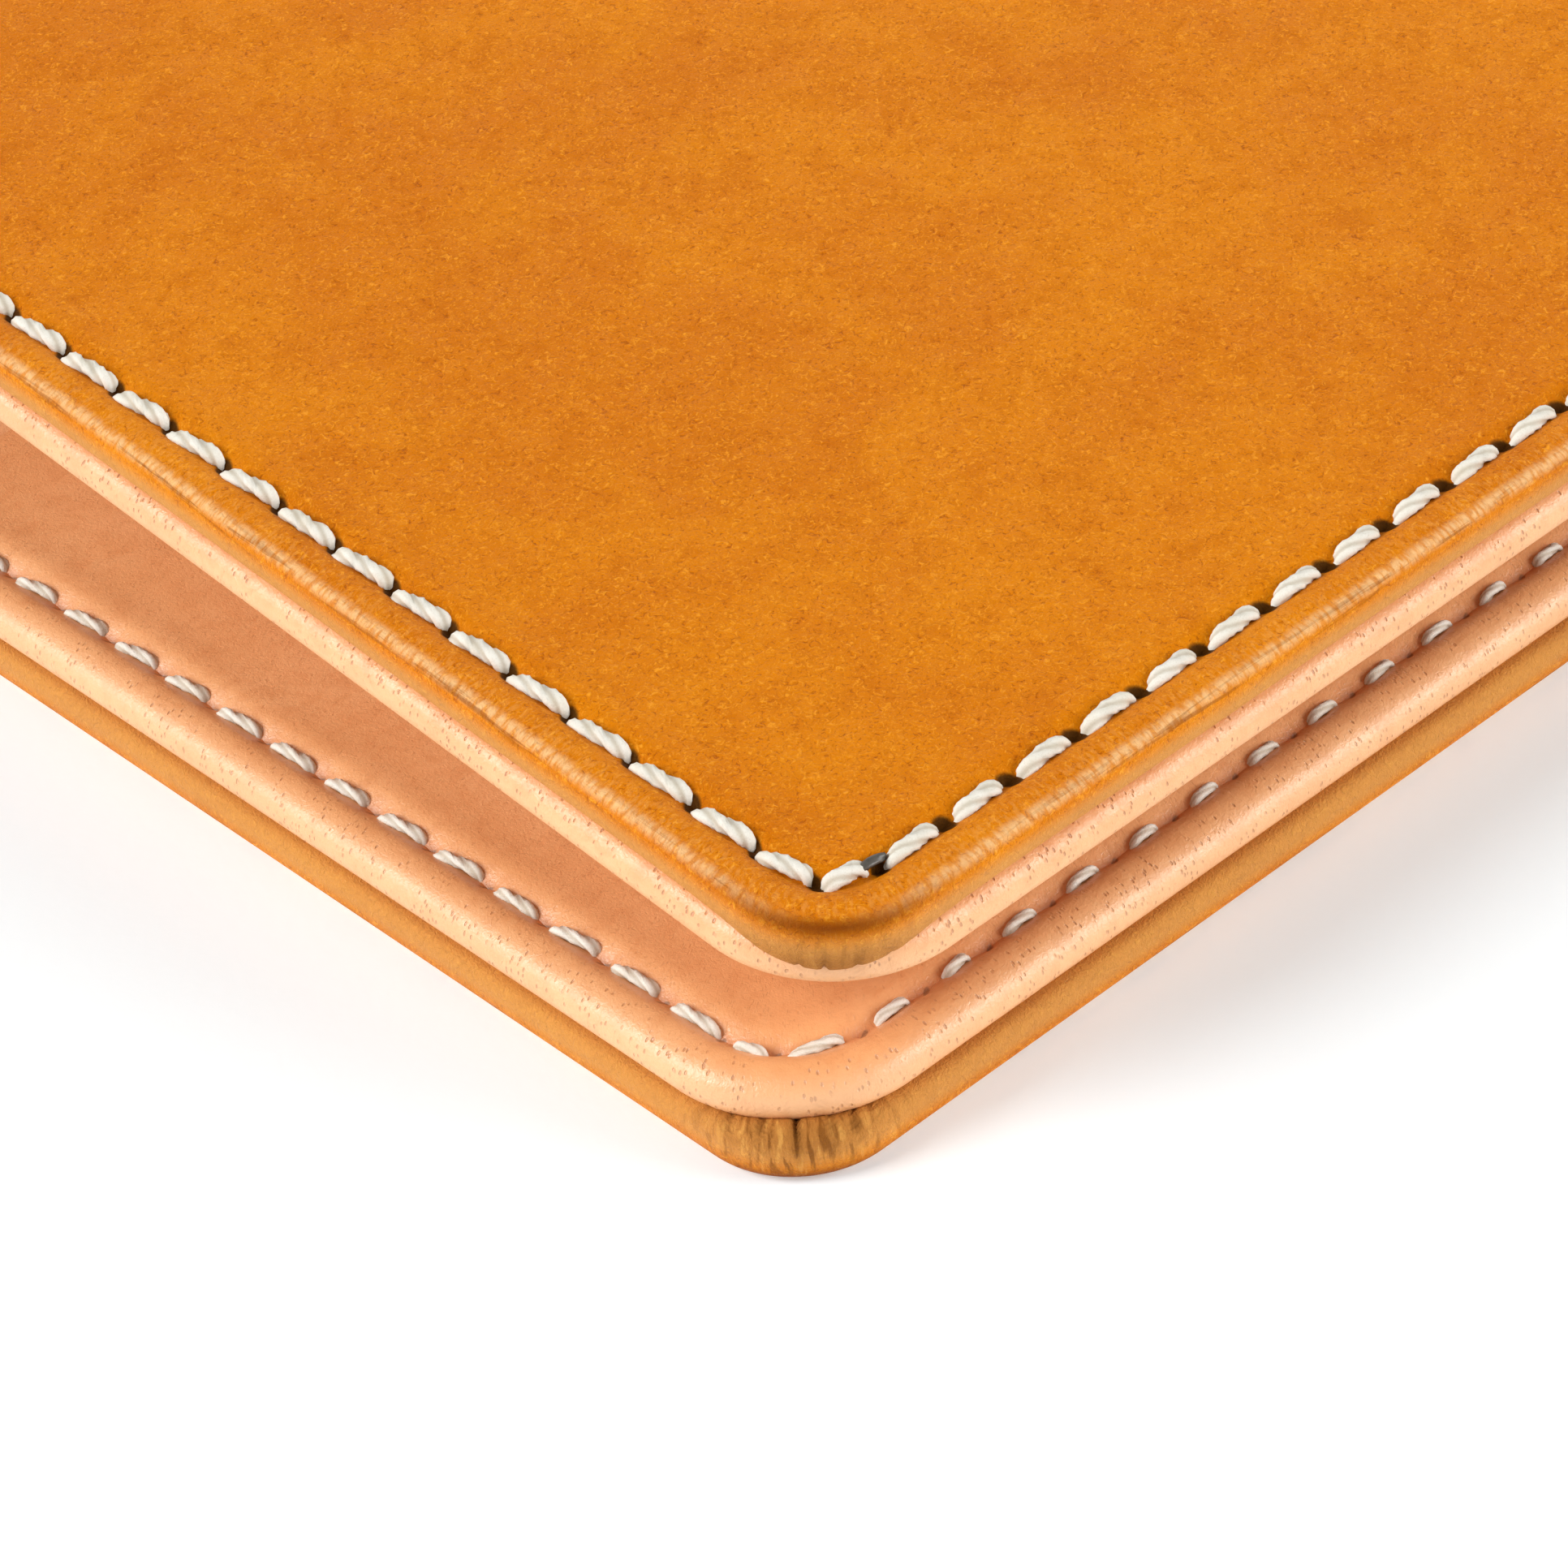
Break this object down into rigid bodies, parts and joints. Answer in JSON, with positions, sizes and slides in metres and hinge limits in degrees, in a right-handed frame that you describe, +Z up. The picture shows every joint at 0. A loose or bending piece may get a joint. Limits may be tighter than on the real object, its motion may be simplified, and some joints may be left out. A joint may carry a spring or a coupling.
{
  "type": "card holder",
  "caption": "Bifold leather card holder, resting slightly open, with a tan pocket and a rear card slot inside each sewn cover.",
  "frame": {"origin": "middle of the holder's footprint, on the surface it lies on, at rest", "axes": "+X along the fold, -Y towards the free edges, +Z up through the closed covers"},
  "size_m": [0.104, 0.0728, 0.0168],
  "materials": {
    "amber_leather": "waxy, mottled, soft sheen",
    "tan_leather": "smooth natural vegetable-tanned grain",
    "tan_lining": "thin, matt",
    "board": "bonded fibre board",
    "cream_thread": "twisted, lightly waxed"
  },
  "bodies": {
    "back_cover": {"back_outer_leather": "amber_leather", "back_stiffener": "board", "back_lining": "tan_lining", "back_card_slot": "tan_leather", "back_pocket_board": "board", "back_pocket_panel": "tan_leather", "back_rim_thread": "cream_thread"},
    "spine": {"spine_outer_leather": "amber_leather", "spine_reinforcement": "board", "spine_lining": "tan_lining", "spine_end_threads": "cream_thread"},
    "front_cover": {"front_outer_leather": "amber_leather", "front_stiffener": "board", "front_lining": "tan_lining", "front_card_slot": "tan_leather", "front_pocket_board": "board", "front_pocket_panel": "tan_leather", "front_rim_thread": "cream_thread"}
  },
  "joints": [
    {"name": "back_fold", "type": "hinge", "parent": "back_cover", "child": "spine", "pos_m": [0, 0.03606, 0.00032], "axis": [-1, 0, 0], "range_deg": [-0.7, 92.8]},
    {"name": "front_fold", "type": "hinge", "parent": "spine", "child": "front_cover", "pos_m": [0, 0.03527, 0.01651], "axis": [-1, 0, 0], "range_deg": [-0.7, 92.8]}
  ],
  "couplings": [
    {"joint": "front_fold", "follows": "back_fold", "ratio": 1}
  ]
}
